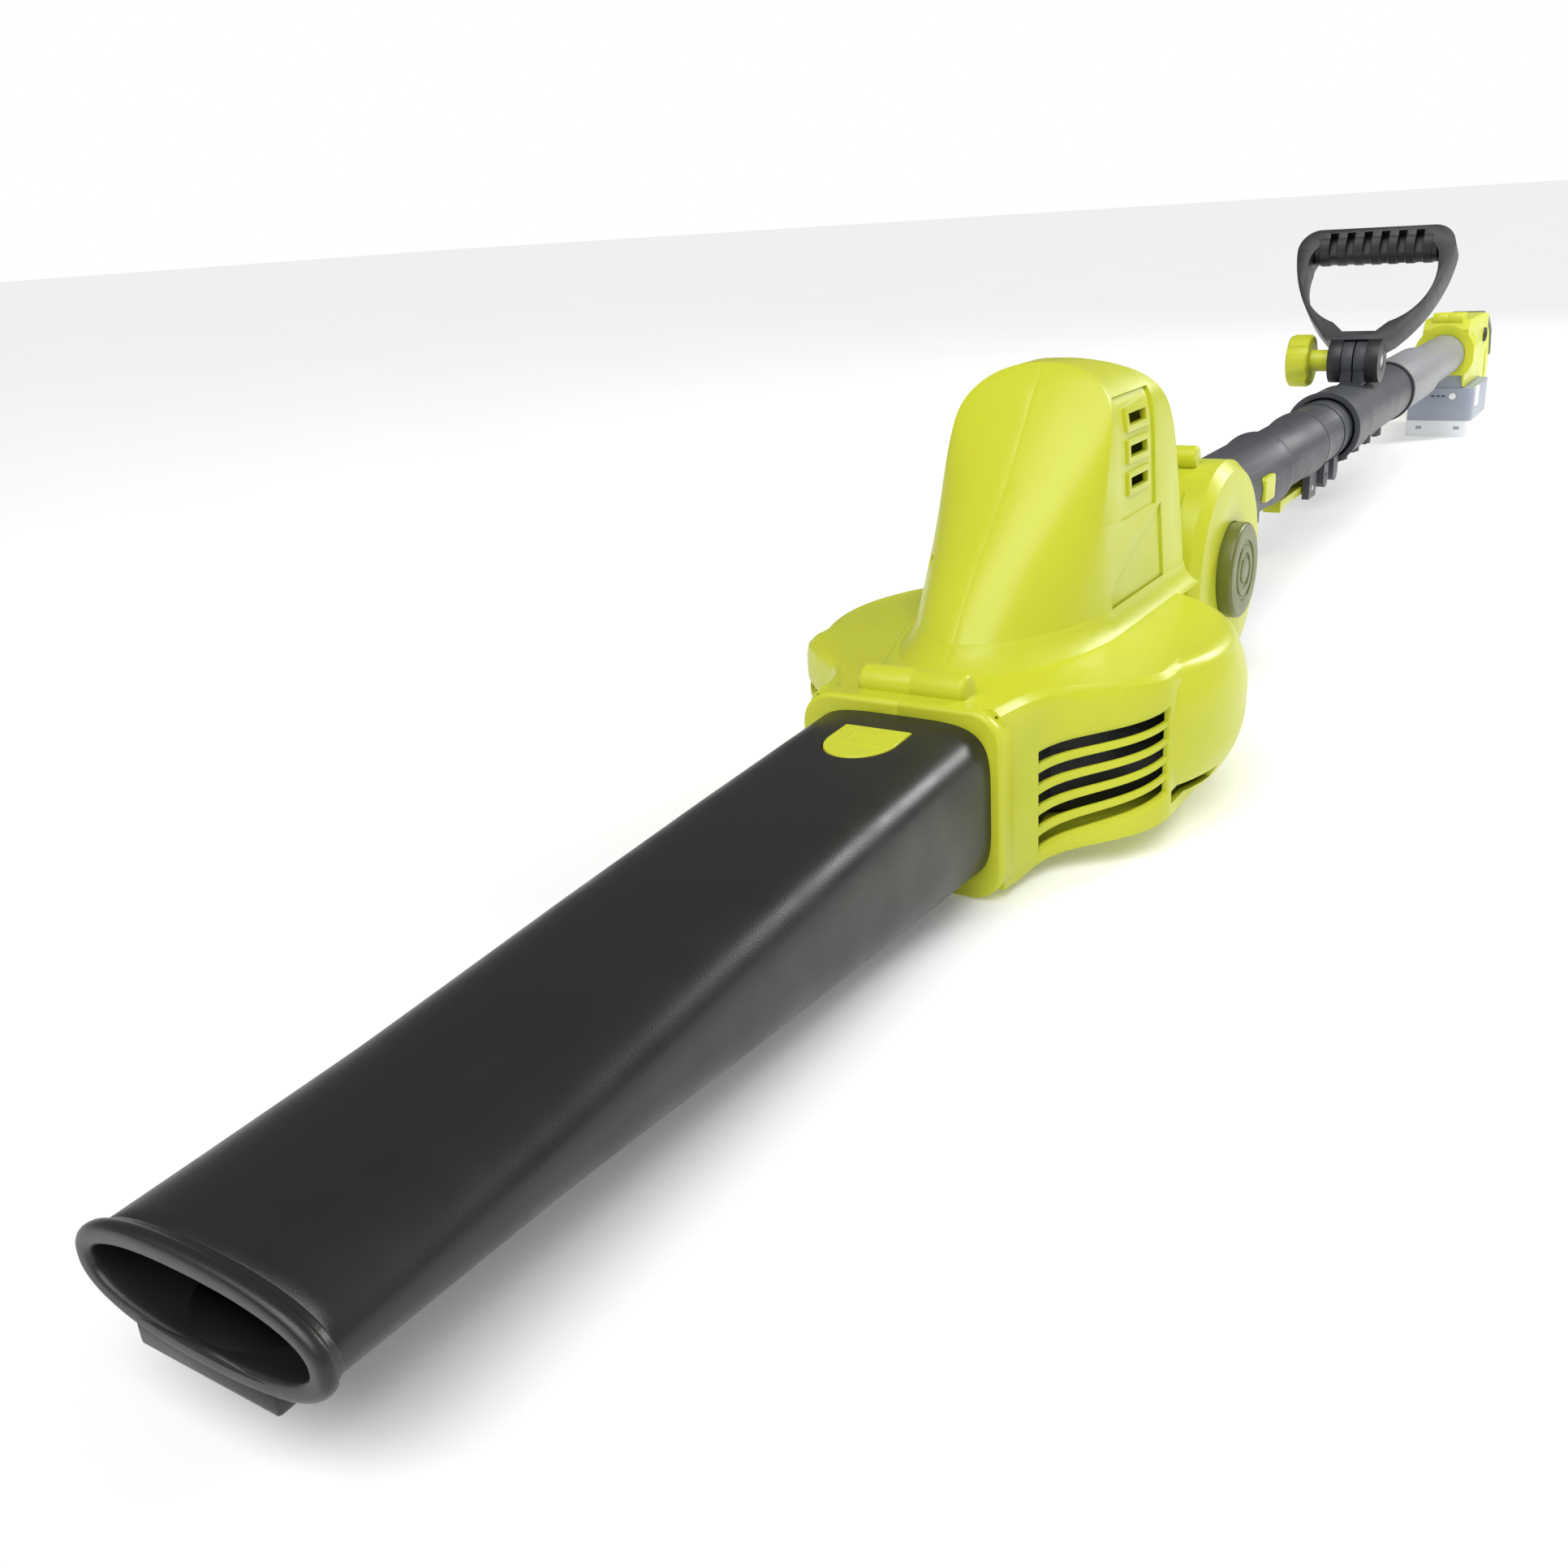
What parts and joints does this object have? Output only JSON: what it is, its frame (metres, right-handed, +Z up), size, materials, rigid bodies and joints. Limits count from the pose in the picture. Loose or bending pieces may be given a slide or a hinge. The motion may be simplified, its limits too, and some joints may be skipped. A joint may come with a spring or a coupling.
{
  "type": "pole leaf blower",
  "caption": "Cordless leaf blower on a telescoping pole with a tilting fan head, a flat nozzle, a front loop handle, a rear trigger handle and a slide-on battery.",
  "frame": {"origin": "under the middle of the whole length, on the surface the blower rests on", "axes": "+Z up, -Y towards the nozzle and along the pole, +X to the right seen from the rear handle, X = 0 is the mid-plane"},
  "size_m": [0.2344, 2.1, 0.264],
  "materials": {
    "housing": "semi-gloss lime moulding",
    "screws": "zinc plated",
    "scroll": "matte black moulding",
    "motor_steel": "drawn steel",
    "mount": "cast",
    "magnet": "ferrite",
    "core": "laminated steel",
    "copper": "copper",
    "impeller": "matte black moulding",
    "nozzle": "fine grained dark moulding",
    "pole_plastic": "fine grained slate moulding",
    "axle": "turned steel",
    "olive": "olive moulding",
    "button_dark": "dark moulding",
    "tube": "grey coated tube",
    "bush": "natural nylon",
    "lever": "semi-gloss lime moulding",
    "d_handle": "fine grained dark moulding",
    "rear_handle": "semi-gloss lime moulding",
    "grip": "soft overmould",
    "electrics": "black moulding",
    "battery_case": "blue grey moulding",
    "battery_base": "white moulding",
    "cells": "wrapped cells",
    "battery_white": "white moulding"
  },
  "bodies": {
    "pole": {"handle_left": "rear_handle", "handle_right": "rear_handle", "handle_grip": "grip", "handle_screws": "screws", "trigger_switch": "electrics", "trigger_pin": "axle", "terminal_block": "electrics", "terminal_blades": "copper", "main_tube": "tube", "tube_sleeve": "tube", "sleeve_seal": "pole_plastic", "handle_clamp": "pole_plastic", "clamp_screws": "screws", "lock_collar": "pole_plastic", "flip_lever_pin": "axle"},
    "inner_pole": {"inner_tube": "tube", "inner_tube_bush": "bush"},
    "head_adapter": {"pivot_adapter": "pole_plastic"},
    "coupling_release": {"coupling_button": "housing"},
    "head": {"housing_left": "housing", "housing_right": "housing", "housing_screws": "screws", "intake_grille": "housing", "intake_ring": "housing", "scroll_lower": "scroll", "scroll_upper": "scroll", "motor_mount": "mount", "motor_can": "motor_steel", "motor_end_cap": "motor_steel", "motor_bearing_lower": "motor_steel", "motor_bearing_upper": "motor_steel", "motor_magnets": "magnet", "pivot_axle": "axle", "pivot_cap": "pole_plastic"},
    "pivot_lock": {"pivot_lock_button": "olive"},
    "rotor": {"motor_shaft": "motor_steel", "armature_core": "core", "commutator": "copper", "impeller": "impeller", "impeller_nut": "screws"},
    "nozzle": {"blow_nozzle": "nozzle"},
    "nozzle_release": {"nozzle_latch": "housing"},
    "front_handle": {"d_handle": "d_handle", "clamp_nut": "screws"},
    "handle_knob": {"clamp_knob": "lever", "clamp_bolt": "axle"},
    "pole_lever": {"flip_lever": "lever"},
    "throttle": {"trigger": "button_dark"},
    "lock_off": {"lock_off_button": "button_dark"},
    "battery": {"battery_case": "battery_case", "battery_base": "battery_base", "battery_cells": "cells"},
    "gauge_button": {"battery_gauge_button": "battery_white"},
    "release_left": {"battery_latch_left": "battery_white"},
    "release_right": {"battery_latch_right": "battery_white"}
  },
  "joints": [
    {"name": "pole_extension", "type": "slide", "parent": "pole", "child": "inner_pole", "axis": [0, -1, 0], "range_m": [0, 0.25]},
    {"name": "head_coupling", "type": "slide", "parent": "inner_pole", "child": "head_adapter", "axis": [0, -1, 0], "range_m": [0, 0.118]},
    {"name": "coupling_release_press", "type": "slide", "parent": "head_adapter", "child": "coupling_release", "axis": [-1, 0, 0], "range_m": [0, 0.002], "stiffness_N_per_m": 800},
    {"name": "head_tilt", "type": "hinge", "parent": "head_adapter", "child": "head", "pos_m": [0, -0.304, 0.082], "axis": [1, 0, 0], "range_deg": [0, 90]},
    {"name": "pivot_lock_press", "type": "slide", "parent": "head", "child": "pivot_lock", "axis": [-1, 0, 0], "range_m": [0, 0.005], "stiffness_N_per_m": 600},
    {"name": "fan_spin", "type": "hinge", "parent": "head", "child": "rotor", "pos_m": [0, -0.504, 0.08], "axis": [0, 0, 1], "continuous": true},
    {"name": "nozzle_slide", "type": "slide", "parent": "head", "child": "nozzle", "axis": [0, -1, 0], "range_m": [0, 0.06]},
    {"name": "nozzle_release_press", "type": "slide", "parent": "nozzle", "child": "nozzle_release", "axis": [0, 0, -1], "range_m": [0, 0.003], "stiffness_N_per_m": 500},
    {"name": "front_handle_tilt", "type": "hinge", "parent": "pole", "child": "front_handle", "pos_m": [0, 0.287, 0.147], "axis": [1, 0, 0], "range_deg": [-30, 90]},
    {"name": "knob_turn", "type": "hinge", "parent": "front_handle", "child": "handle_knob", "pos_m": [-0.04, 0.287, 0.147], "axis": [1, 0, 0], "continuous": true},
    {"name": "pole_lever_flip", "type": "hinge", "parent": "pole", "child": "pole_lever", "pos_m": [0, 0.082, 0.063], "axis": [1, 0, 0], "range_deg": [0, 75]},
    {"name": "throttle_pull", "type": "hinge", "parent": "pole", "child": "throttle", "pos_m": [0, 0.94, 0.116], "axis": [1, 0, 0], "range_deg": [0, 8], "stiffness_Nm_per_rad": 2},
    {"name": "lock_off_press", "type": "slide", "parent": "pole", "child": "lock_off", "axis": [1, 0, 0], "range_m": [-0.004, 0.004], "stiffness_N_per_m": 600},
    {"name": "battery_slide", "type": "slide", "parent": "pole", "child": "battery", "axis": [0, -1, 0], "range_m": [0, 0.09]},
    {"name": "gauge_press", "type": "slide", "parent": "battery", "child": "gauge_button", "axis": [0, 1, 0], "range_m": [0, 0.0005], "stiffness_N_per_m": 400},
    {"name": "release_left_press", "type": "slide", "parent": "battery", "child": "release_left", "axis": [1, 0, 0], "range_m": [0, 0.0015], "stiffness_N_per_m": 800},
    {"name": "release_right_press", "type": "slide", "parent": "battery", "child": "release_right", "axis": [-1, 0, 0], "range_m": [0, 0.0015], "stiffness_N_per_m": 800}
  ]
}
